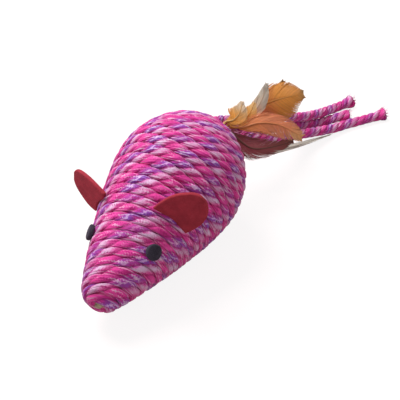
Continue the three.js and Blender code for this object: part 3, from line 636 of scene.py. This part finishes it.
def makeEye(side, felt):
    # a punched disc: from the middle out to the rim's half round and back; its face swells by
    # swell (1 - (r / R) ** 2) and its edge wanders a little
    e = eyes
    at, out, _, around = surfaceFrame(e["place"], e["angles"][side])
    along = np.cross(out, around)
    radius, soft, thickness = e["radius"], e["softEdge"], e["thickness"]
    face, top = radius - soft, thickness - soft
    inner = np.linspace(0.03, 1, 9) * face
    rim = np.linspace(0, np.pi / 2, 7)[1:]
    rings = [
        (inner, thickness),
        (face + soft * np.sin(rim), top + soft * np.cos(rim)),
        (radius, np.linspace(top, soft, 5)[1:]),
        (face + soft * np.cos(rim), soft * (1 - np.sin(rim))),
        (inner[::-1][1:], 0),
    ]
    r, z = np.hstack([np.broadcast_arrays(*ring) for ring in rings])
    z = np.where(z > thickness / 2, z + e["swell"] * (1 - (r / radius) ** 2), z)
    turn = np.linspace(0, 2 * np.pi, 64, endpoint=False)
    edge = 1 + 0.018 * np.sin(3 * turn + e["angles"][side])
    edge = edge + 0.012 * np.sin(7 * turn + 2) + 0.008 * np.sin(17 * turn)
    x, y = (r[:, None] * edge * f(turn) for f in (np.cos, np.sin))
    grid = at + x[..., None] * along + y[..., None] * around + z[:, None, None] * out
    uv = np.zeros((len(r), len(turn) + 1, 2))
    piece = gridMesh("felt_eye_" + side, inBody(grid[:, ::-1]), uv)
    piece.data.materials.append(felt)
    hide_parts("eye_" + side)
    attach(piece, "toy_body")


ears = {
    "length": 20 * mm,
    "baseWidth": 19 * mm,
    "width": 20 * mm,
    "widestPlace": 6 * mm,
    "thickness": 2 * mm,
    "rim": 0.8 * mm,
    "footGap": 0.6 * mm,
    "hollow": 0.9 * mm,
    "ripple": (0.22 * mm, 2.7 * mm, 4.1 * mm),  # its height, and its length across and up the blade
    "place": 45.6 * mm,
    "poses": {  # in degrees
        "left": {"around": 43, "lean": 16, "slant": 2, "twist": 5},
        "right": {"around": -61, "lean": 22, "slant": -21, "twist": -8},
    },
}


def earOutline(e):
    # half width w(y) = base to full over the foot, then full sqrt(1 - ((y - foot) / (length - foot))
    # ** 2), for rows that lie closer towards the foot and the tip
    length, foot, wide = e["length"], e["widestPlace"], e["width"] / 2
    lower = 0.6 * length
    tip = lower + (length - lower) * np.sin(np.linspace(0, np.pi / 2, 22)[1:])
    y = np.concatenate([np.arange(0, 1, 0.25) * mm, np.linspace(mm, lower, 26), tip])
    base = e["baseWidth"] / 2
    low = base + (wide - base) * np.sin(np.pi / 2 * np.clip(y / foot, 0, 1))
    high = wide * np.sqrt(np.clip(1 - ((y - foot) / (length - foot)) ** 2, 0, 1))
    # half thickness, rounded off at the tip and at the foot
    tipShare = np.clip(y - length + e["rim"], 0, None) / e["rim"]
    thick = e["thickness"] / 2 * np.sqrt(np.clip(1 - tipShare**2, 0, 1))
    thick = thick * np.sqrt(np.clip(1 - (1 - np.clip(y / e["rim"], 0.15, 1)) ** 2, 0, 1))
    return y, np.where(y < foot, low, high), thick


def makeEar(side, felt):
    # a D of felt on its straight edge: each row is a flat oval section with a half round rim, and
    # the blade is hollowed by hollow (x / w) ** 2 and a slow ripple
    e = ears
    pose = {name: radians(value) for name, value in e["poses"][side].items()}
    at, _, radial, around = surfaceFrame(e["place"], pose["around"])
    axis = np.array([0.0, 1.0, 0.0])
    base = around * cos(pose["twist"]) + axis * sin(pose["twist"])
    upright = radial * cos(pose["lean"]) + axis * sin(pose["lean"])
    rise = upright * cos(pose["slant"]) + base * sin(pose["slant"])
    width = squareTo(rise, base)
    face = np.cross(width, rise)

    # where each face of the felt meets the winding, for each place across the blade, looked for in
    # steps of 0.1 mm
    line = bodyOutline(body)[0]
    across = np.linspace(-11, 11, 45) * mm
    ups = np.linspace(-4, 9, 131) * mm
    faces = np.array([-1, 1])[:, None, None, None] * e["thickness"] / 2 * face
    test = at + across[:, None, None] * width + ups[None, :, None] * rise + faces
    surface = np.interp(test[..., 1], line[:, 1], line[:, 0])
    room = np.hypot(test[..., 0], test[..., 2]) - surface - e["footGap"]
    back, front = ups[np.argmax(room > 0, axis=2)]

    y, half, thick = (values[:, None] for values in earOutline(e))
    up = y / e["length"]
    flat, bend = 25, 7  # points on each face and round each rim
    straight = np.linspace(1, -1, flat)
    bent = np.linspace(90, 270, bend + 2)[1:-1]
    ring = [(straight, 90), (-1, bent), (-straight, 270), (1, bent + 180)]
    straight, arc = np.hstack([np.broadcast_arrays(*stretch) for stretch in ring])
    arc = np.radians(arc)
    x = np.maximum(half - e["rim"], 0) * straight + np.minimum(half, e["rim"]) * np.cos(arc)
    z = thick * np.sin(arc) + e["hollow"] * ((x / (e["width"] / 2)) ** 2 - 0.35) * up**0.7
    height, acrossLength, upLength = e["ripple"]
    z = z + height * np.sin(x / acrossLength + y / upLength + pose["around"]) * up
    foot = np.interp(x, across, (back + front) / 2) + np.interp(x, across, front - back) * z / e["thickness"]
    rows = y + foot * (1 - up) ** 2
    grid = at + x[..., None] * width + rows[..., None] * rise + z[..., None] * face
    uv = np.zeros((x.shape[0], x.shape[1] + 1, 2))
    piece = gridMesh("felt_ear_" + side, inBody(grid), uv)
    piece.data.materials.append(felt)
    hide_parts("ear_" + side)
    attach(piece, side + "_ear")


# the third colour of each felt is its painted highlight on the fibre curls
blackFelt = feltMaterial("black wool felt", "#443D4A", "#1F1D26", "#5C5566")
redFelt = feltMaterial("dark red wool felt", "#B23644", "#8A2431", "#BE5062")
for side in ("left", "right"):
    makeEye(side, blackFelt)
    makeEar(side, redFelt)
print("eyes and ears cut")

# Feathers: dyed barbs set along a quill that stands in the plug; the brown feather's colours are painted
# shade.
feathers = {
    "plugFace": 117 * mm,
    "circle": 7.5 * mm,
    "depth": 3.7 * mm,
    "straight": 3.5 * mm,
    "quill": 0.6 * mm,
    "facing": np.array([0.37, -0.67, 0.64]),  # where the vanes' upper sides look
    "cup": 0.12,
    "barbSpacing": 0.34 * mm,
    "barbSteps": 10,
    "barbThickness": 0.055 * mm,
    "barbLift": 0.45 * mm,
    "locks": 9,
    "fluffReach": 0.09,  # share of the blade over which the barbs at its root are fluffy
    "fluffHeight": 0.9 * mm,
    "seed": 20,
    # each blade's width from its root to its tip, as a share of its full width
    "shares": {
        "round": (0.1, 0.5, 0.8, 0.95, 1.0, 0.86, 0.24),
        "petal": (0.1, 0.5, 0.85, 1.02, 1.08, 0.92, 0.12),
        "leaf": (0.1, 0.55, 0.9, 1.0, 0.8, 0.5, 0.12),
        "root": (0.3, 0.85, 1.0, 0.86, 0.64, 0.4, 0.12),
        "spike": (0.2, 0.5, 0.8, 1.0, 1.0, 0.75, 0.16),
    },
}
# holes are in degrees round the plug, routes in mm from the middle of its face, stems in mm of bare
# quill; a barb is cover times its spacing wide and sweeps forwards over a share of the blade; sides
# and split are how wide each vane is and how loosely its barbs lie
featherKinds = {
    "fan": {
        "hole": 50, "stem": 4, "width": 9.6 * mm, "shares": "leaf", "cover": 1.3, "sides": (1.25, 1),
        "sweep": 0.5, "split": 0.015, "slot": "feather_pale", "quillColour": "#CE9E5E",
        "route": [(9.3, 3.2, 7.2), (11.2, 6.4, 10.1), (10.6, 10.6, 14.2)],
        "palette": [(0, "#E29A3E"), (0.35, "#FDB050"), (0.62, "#F8C480"), (0.9, "#EAD2B4")],
    },
    "tuft": {
        "hole": 66, "stem": 6, "width": 9.6 * mm, "shares": "leaf", "cover": 1.2, "sides": (1, 1),
        "sweep": 0.5, "split": 0.015, "slot": "feather_orange", "quillColour": "#CC8E42",
        "route": [(10.7, 7.4, 5.1), (13.9, 10.9, 7), (14.8, 16.5, 11.5)],
        "palette": [(0, "#DC8438"), (0.4, "#F2A040"), (0.8, "#EEB468"), (1, "#DCC094")],
    },
    "spike": {
        "hole": 270, "stem": 27, "width": 6.4 * mm, "shares": "spike", "cover": 1.2, "sides": (1, 1),
        "sweep": 0.55, "split": 0.01, "slot": "feather_pale", "quillColour": "#C4AE92",
        "route": [
            (-2.2, 15.7, -6.1), (3.1, 23.5, -7.2), (8.7, 28.3, -3.9), (11.2, 34.4, 1.9), (11.2, 39.4, 8.8),
        ],
        "palette": [(0, "#D29460"), (0.35, "#DAB68E"), (0.7, "#D2C6B2"), (1, "#C0BAAE")],
    },
    "point": {
        "hole": 248, "stem": 28, "width": 9.6 * mm, "shares": "leaf", "cover": 1.3, "sides": (1.1, 1),
        "sweep": 0.5, "split": 0.012, "slot": "feather_orange", "quillColour": "#C08236",
        "route": [
            (-2.8, 17.1, -9), (1.8, 26.8, -10.9), (7.1, 33.8, -9.6), (11.6, 41.9, -3.6), (15.9, 51.2, 5.2),
        ],
        "palette": [(0, "#B96A3C"), (0.35, "#C98036"), (0.75, "#CC8A38"), (1, "#A98454")],
    },
    "broad": {
        "hole": 226, "stem": 36, "width": 15.5 * mm, "shares": "petal", "cover": 1.35, "sides": (1, 1.3),
        "sweep": 0.5, "split": 0.012, "slot": "feather_orange", "quillColour": "#C4863A",
        "route": [
            (-1.4, 16.7, -10.2), (3.7, 25.2, -11.2), (7.9, 33, -8.6), (11.8, 37.4, -3), (21, 41.3, 2),
            (29.4, 45.9, 4.4),
        ],
        "palette": [(0, "#C8704E"), (0.25, "#CE7C46"), (0.55, "#D88E3A"), (0.85, "#D0883A"), (1, "#AA7E48")],
    },
    "salmon": {
        "hole": 82, "stem": 8, "width": 10 * mm, "shares": "round", "cover": 0.9, "sides": (1, 1.25),
        "sweep": 0.42, "split": 0.03, "slot": "feather_salmon", "quillColour": "#C87C4C",
        "route": [(13.8, 4.5, 3.5), (20.5, 8.4, 6), (29.3, 12.7, 5.4), (41.9, 15.5, 0.4)],
        "palette": [(0, "#E48A38"), (0.3, "#E08858"), (0.7, "#D88058"), (1, "#D29864")],
    },
    # painted shade: the brown feather stands for an orange one lying in shade under the tail, so its barbs
    # and quill are dark maroon
    "brown": {
        "hole": 98, "stem": 3, "width": 12 * mm, "shares": "root", "cover": 0.95, "sides": (1, 1),
        "sweep": 0.36, "split": 0.04, "slot": "feather_brown", "quillColour": "#5A3028",
        "route": [(13, 2.2, -2.3), (20.7, 2.4, -5.3), (29.1, 7.8, -5.2), (37.5, 15.4, -3.5)],
        "palette": [(0, "#802C38"), (0.4, "#8C3A42"), (0.75, "#8C4442"), (1, "#74443C")],
    },
    "cream": {
        "hole": 146, "stem": 12, "width": 3.2 * mm, "shares": "leaf", "cover": 1.1, "sides": (1, 1),
        "sweep": 0.4, "split": 0.02, "slot": "feather_cream", "quillColour": "#BDB4A8",
        "route": [(12.4, 6.8, -10.7), (20.5, 16.6, -16.7), (32.3, 27.7, -16.5), (47.8, 41.5, -12.4)],
        "palette": [(0, "#A79A90"), (0.4, "#CFC6BC"), (0.8, "#DAD3CA"), (1, "#C4BDB4")],
    },
}


def splitVane(rootShare, seed):
    # barbs cling together in locks: each lock leans its own way, so the edge is notched
    random = np.random.default_rng(seed)
    count = feathers["locks"]
    which = np.searchsorted(np.sort(random.uniform(0, 1, count)), rootShare)
    return random.uniform(-1, 1, count + 1)[which], random.uniform(-1, 1, count + 1)[which]


def barbs(path, along, bladeStart, kind, side, seed):
    # barb j leaves the quill at a share a_j of the blade and sweeps forwards: at s of its way it is
    # at a_j + sweep s ** 1.15 along and w (1 - (1 - s) ** 1.35) to the side, w the half width there
    f = feathers
    blade = along[-1] - bladeStart
    count = int(blade / f["barbSpacing"])
    random = np.random.default_rng(seed)
    root = np.linspace(0.0, 0.985, count)
    sweep = kind["sweep"] * (1 - root) ** 0.7
    widths = f["shares"][kind["shares"]]
    shares = np.linspace(0, 1, 61)
    outline = movingMean(np.interp(shares, np.linspace(0, 1, len(widths)), widths), 11)
    half = kind["width"] / 2 * np.interp(np.minimum(root + sweep, 1.0), shares, outline)
    half = half * (1 + kind["split"] * random.standard_normal(count)) * kind["sides"][0 if side < 0 else 1]
    lean, lift = splitVane(root, seed + 7)
    s = np.linspace(0, 1, f["barbSteps"])[None, :]
    fluff = np.exp(-root / f["fluffReach"])[:, None]
    a = root[:, None] + (sweep[:, None] + kind["split"] * lean[:, None] * s) * s**1.15
    out = half[:, None] * (1 - (1 - s) ** 1.35) * (1 + 0.35 * fluff * random.uniform(-1, 1, (count, 1)))
    place = bladeStart + np.clip(a, 0, 1.03) * blade
    ahead = unit(readAt(place, along, unit(np.gradient(path, axis=0))))
    centre = readAt(place, along, path) + ahead * np.maximum(place - along[-1], 0)[..., None]
    top = squareTo(ahead, f["facing"])
    across = np.cross(ahead, top)
    rise = -f["cup"] * out**2 / (kind["width"] / 2) + f["barbLift"] * lift[:, None] * s**2
    rise = rise + fluff * f["fluffHeight"] * np.sin(3 * s + random.uniform(0, 6.28, (count, 1))) * s
    line = centre + side * out[..., None] * across + rise[..., None] * top
    thick = (f["barbSpacing"] * kind["cover"] / 2 * (1 - 0.7 * s**3))[..., None]
    wide = np.cross(unit(np.gradient(line, axis=1)), top) * thick
    high = top * f["barbThickness"]
    grid = line[:, :, None] + np.stack([wide, high, -wide, -high], 2)
    tone = random.uniform(0, 1, count)
    uv = np.stack(np.broadcast_arrays(a, tone[:, None] * 0.98), -1)
    return grid, np.repeat(uv[:, :, None], 4, 2)


def quillRoute(kind):
    # from the bottom of its hole straight out of the plug's face, and then along its own route
    f = feathers
    hole = np.array([(f["circle"], f["plugFace"] + height) for height in (-f["depth"], 0, f["straight"])])
    leave = inBody(roundAxis(hole, np.full(3, radians(kind["hole"]))))
    root = inBody(np.array([0, f["plugFace"], 0]))
    return throughPoints(np.vstack([leave, root + np.array(kind["route"]) * mm]), 0.5 * mm)


def makeFeather(name, kind, seed):
    # a quill that thins towards its tip, with a vane of barbs along either side
    f = feathers
    path, along = quillRoute(kind)
    bladeStart = f["depth"] + kind["stem"] * mm
    slope = unit(np.gradient(path, axis=0))
    top = squareTo(slope, f["facing"])[:, None]
    across = np.cross(slope[:, None], top)
    turn = np.linspace(0, 2 * np.pi, 10, endpoint=False)[:, None]
    taperStart = bladeStart * 0.6
    share = np.clip((along - taperStart) / (along[-1] - taperStart), 0, 1)
    taper = f["quill"] * np.clip(1.12 - 0.95 * share, 0.12, 1)
    quill = path[:, None] + taper[:, None, None] * (np.cos(turn) * top - np.sin(turn) * across)
    quillUv = np.full(quill.shape[:2] + (2,), -1.0)
    parts = [tubes(quill[None], quillUv[None])]
    parts += [tubes(*barbs(path, along, bladeStart, kind, side, seed + side)) for side in (-1, 1)]
    piece = meshObject("hackle_feather_" + name, *joined(parts))
    piece.data.materials.append(featherMaterial(name, kind))
    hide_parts("feather_" + name)
    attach(piece, "toy_body")


def featherMaterial(name, kind):
    # dyed cock hackle: silky thin barbs whose dye runs paler and browner towards root and edge, in
    # patches of about 6 mm; the quill has a colour of its own
    vane = newMaterial("hackle feather, " + name)
    split = addNode(vane, "SeparateXYZ", {0: addNode(vane, "UVMap", uv_map="lay")})
    along, barbTone = split.outputs[:2]
    place = addNode(vane, "TexCoord").outputs["Object"]
    patch = addNode(vane, "TexNoise", {"Vector": place, "Scale": 170.0, "Detail": 3.0})
    stray = addNode(vane, "Math", {0: patch, 1: 0.5, 2: along}, operation="MULTIPLY_ADD")
    shifted = addNode(vane, "Math", {0: stray, 1: -0.25}, operation="ADD")
    # the ramp holds dyes, and for the brown feather painted shade
    dyeAndPaintedLight = addNode(vane, "ValToRGB", {0: shifted}, stops=kind["palette"])
    tone = addNode(vane, "MapRange", {0: barbTone, 3: 0.82, 4: 1.12})
    toned = addNode(vane, "Mix", {0: 1.0, 6: dyeAndPaintedLight, 7: tone}, data_type="RGBA", blend_type="MULTIPLY")
    isQuill = addNode(vane, "Math", {0: along, 1: -0.5}, operation="LESS_THAN")
    both = {0: isQuill, 6: toned.outputs[2], 7: linearColour(kind["quillColour"])}
    colour = addNode(vane, "Mix", both, data_type="RGBA")
    shader = addNode(vane, "BsdfPrincipled", {
        "Base Color": colour.outputs[2], "Roughness": 0.5, "Specular IOR Level": 0.35,
        "Sheen Weight": 0.2, "Sheen Roughness": 0.35,
    })
    return finishMaterial(vane, shader)


for number, (name, kind) in enumerate(featherKinds.items()):
    makeFeather(name, kind, feathers["seed"] + 3 * number)
print("feathers made:", len(featherKinds))


# Inside the winding: a hollow core in two moulded halves, its plug and the rattle ball.
def mouldedPlasticMaterial():
    # moulded high-impact polystyrene: slightly satin, with a fine spark-eroded grain of 0.5 mm
    plastic = newMaterial("moulded polystyrene")
    place = addNode(plastic, "TexCoord").outputs["Object"]
    grain = addNode(plastic, "TexNoise", {"Vector": place, "Scale": 1800.0, "Detail": 2.0})
    flow = addNode(plastic, "TexNoise", {"Vector": place, "Scale": 60.0, "Detail": 1.0})
    # the dark mauve is partly a guess at the hidden plastic's colour and partly painted shade, kept dark
    # where the core shows between the turns
    colour = addNode(plastic, "ValToRGB", {0: flow}, stops=[(0.35, "#6B4A52"), (0.7, "#7C5A61")])
    bump = addNode(plastic, "Bump", {"Strength": 0.2, "Distance": 0.05 * mm, "Height": grain})
    finish = {"Base Color": colour, "Roughness": 0.5, "IOR": 1.58, "Normal": bump}
    return finishMaterial(plastic, addNode(plastic, "BsdfPrincipled", finish))


def steelMaterial():
    # tumbled steel: bright, with faint scuffs about 1 mm apart
    steel = newMaterial("tumbled steel")
    place = addNode(steel, "TexCoord").outputs["Object"]
    scuff = addNode(steel, "TexNoise", {"Vector": place, "Scale": 900.0, "Detail": 3.0})
    rough = addNode(steel, "MapRange", {0: scuff, 3: 0.22, 4: 0.4})
    finish = {"Base Color": linearColour("#B9BBBE"), "Metallic": 1.0, "Roughness": rough}
    return finishMaterial(steel, addNode(steel, "BsdfPrincipled", finish))


plastic, steel = mouldedPlasticMaterial(), steelMaterial()
inside = {"core_left_shell": plastic, "core_right_shell": plastic, "tail_plug": plastic, "rattle_ball": steel}
for node, finish in inside.items():
    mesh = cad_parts[node].data
    mesh.materials.clear()
    mesh.materials.append(finish)
print("core finished")

# Floor, backdrop and light: plain pale ground, soft light from the upper left.
studio = {
    "floor": "#BFAFAE",
    "floorHalf": 3,
    "floorGlow": 1.45,  # seen by the camera and in gloss alone, so the floor keeps its shadow
    "floorGlowShare": 0.6,
    "worldStrength": 0.36,
    "aim": (0, 0, 0.03),
    "lamps": {
        "key": {"place": (-0.48, 0.14, 0.8), "size": 0.55, "power": 9.6},
        "fill": {"place": (0.7, -0.6, 0.45), "size": 0.6, "power": 0.5},
    },
}


def makeFloor(s):
    half = s["floorHalf"]
    ground = bpy.data.meshes.new("ground")
    corners = [(-half, -half, 0), (half, -half, 0), (half, half, 0), (-half, half, 0)]
    ground.from_pydata(corners, [], [(0, 1, 2, 3)])
    floor = addObject("ground", ground)
    paper = newMaterial("pale studio paper")
    diffuse = addNode(paper, "BsdfDiffuse", {"Color": linearColour(s["floor"])})
    glow = addNode(paper, "Emission", {"Color": (1, 1, 1, 1), "Strength": s["floorGlow"]})
    rays = addNode(paper, "LightPath").outputs
    seen = addNode(paper, "Math", {0: rays["Is Camera Ray"], 1: rays["Is Glossy Ray"]}, operation="MAXIMUM")
    through = addNode(paper, "Math", {0: seen, 1: rays["Is Transmission Ray"]}, operation="MAXIMUM")
    share = addNode(paper, "Math", {0: through, 1: s["floorGlowShare"]}, operation="MULTIPLY")
    mixed = addNode(paper, "MixShader", {0: share, 1: diffuse, 2: glow})
    ground.materials.append(finishMaterial(paper, mixed))


def makeWorld(s):
    world = bpy.data.worlds.new("studio")
    bpy.context.scene.world = world
    world.use_nodes = True
    world.node_tree.nodes.clear()
    rays = addNode(world, "LightPath").outputs
    seen = addNode(world, "Math", {0: rays["Is Camera Ray"], 1: rays["Is Glossy Ray"]}, operation="MAXIMUM")
    level = addNode(world, "MapRange", {0: seen, 3: s["worldStrength"], 4: 1.0})
    sky = addNode(world, "Background", {"Color": (1, 1, 1, 1), "Strength": level})
    addNode(world, "OutputWorld", {"Surface": sky})


def makeLamps(s):
    for name, settings in s["lamps"].items():
        light = bpy.data.lights.new(name, "AREA")
        light.energy, light.size = settings["power"], settings["size"]
        lamp = addObject(name, light)
        lamp.location = settings["place"]
        lamp.rotation_mode = "QUATERNION"
        lamp.rotation_quaternion = (Vector(s["aim"]) - lamp.location).to_track_quat("-Z", "Y")


makeFloor(studio)
makeWorld(studio)
makeLamps(studio)
bpy.context.scene.view_settings.view_transform = "Standard"
print("floor and lights set")
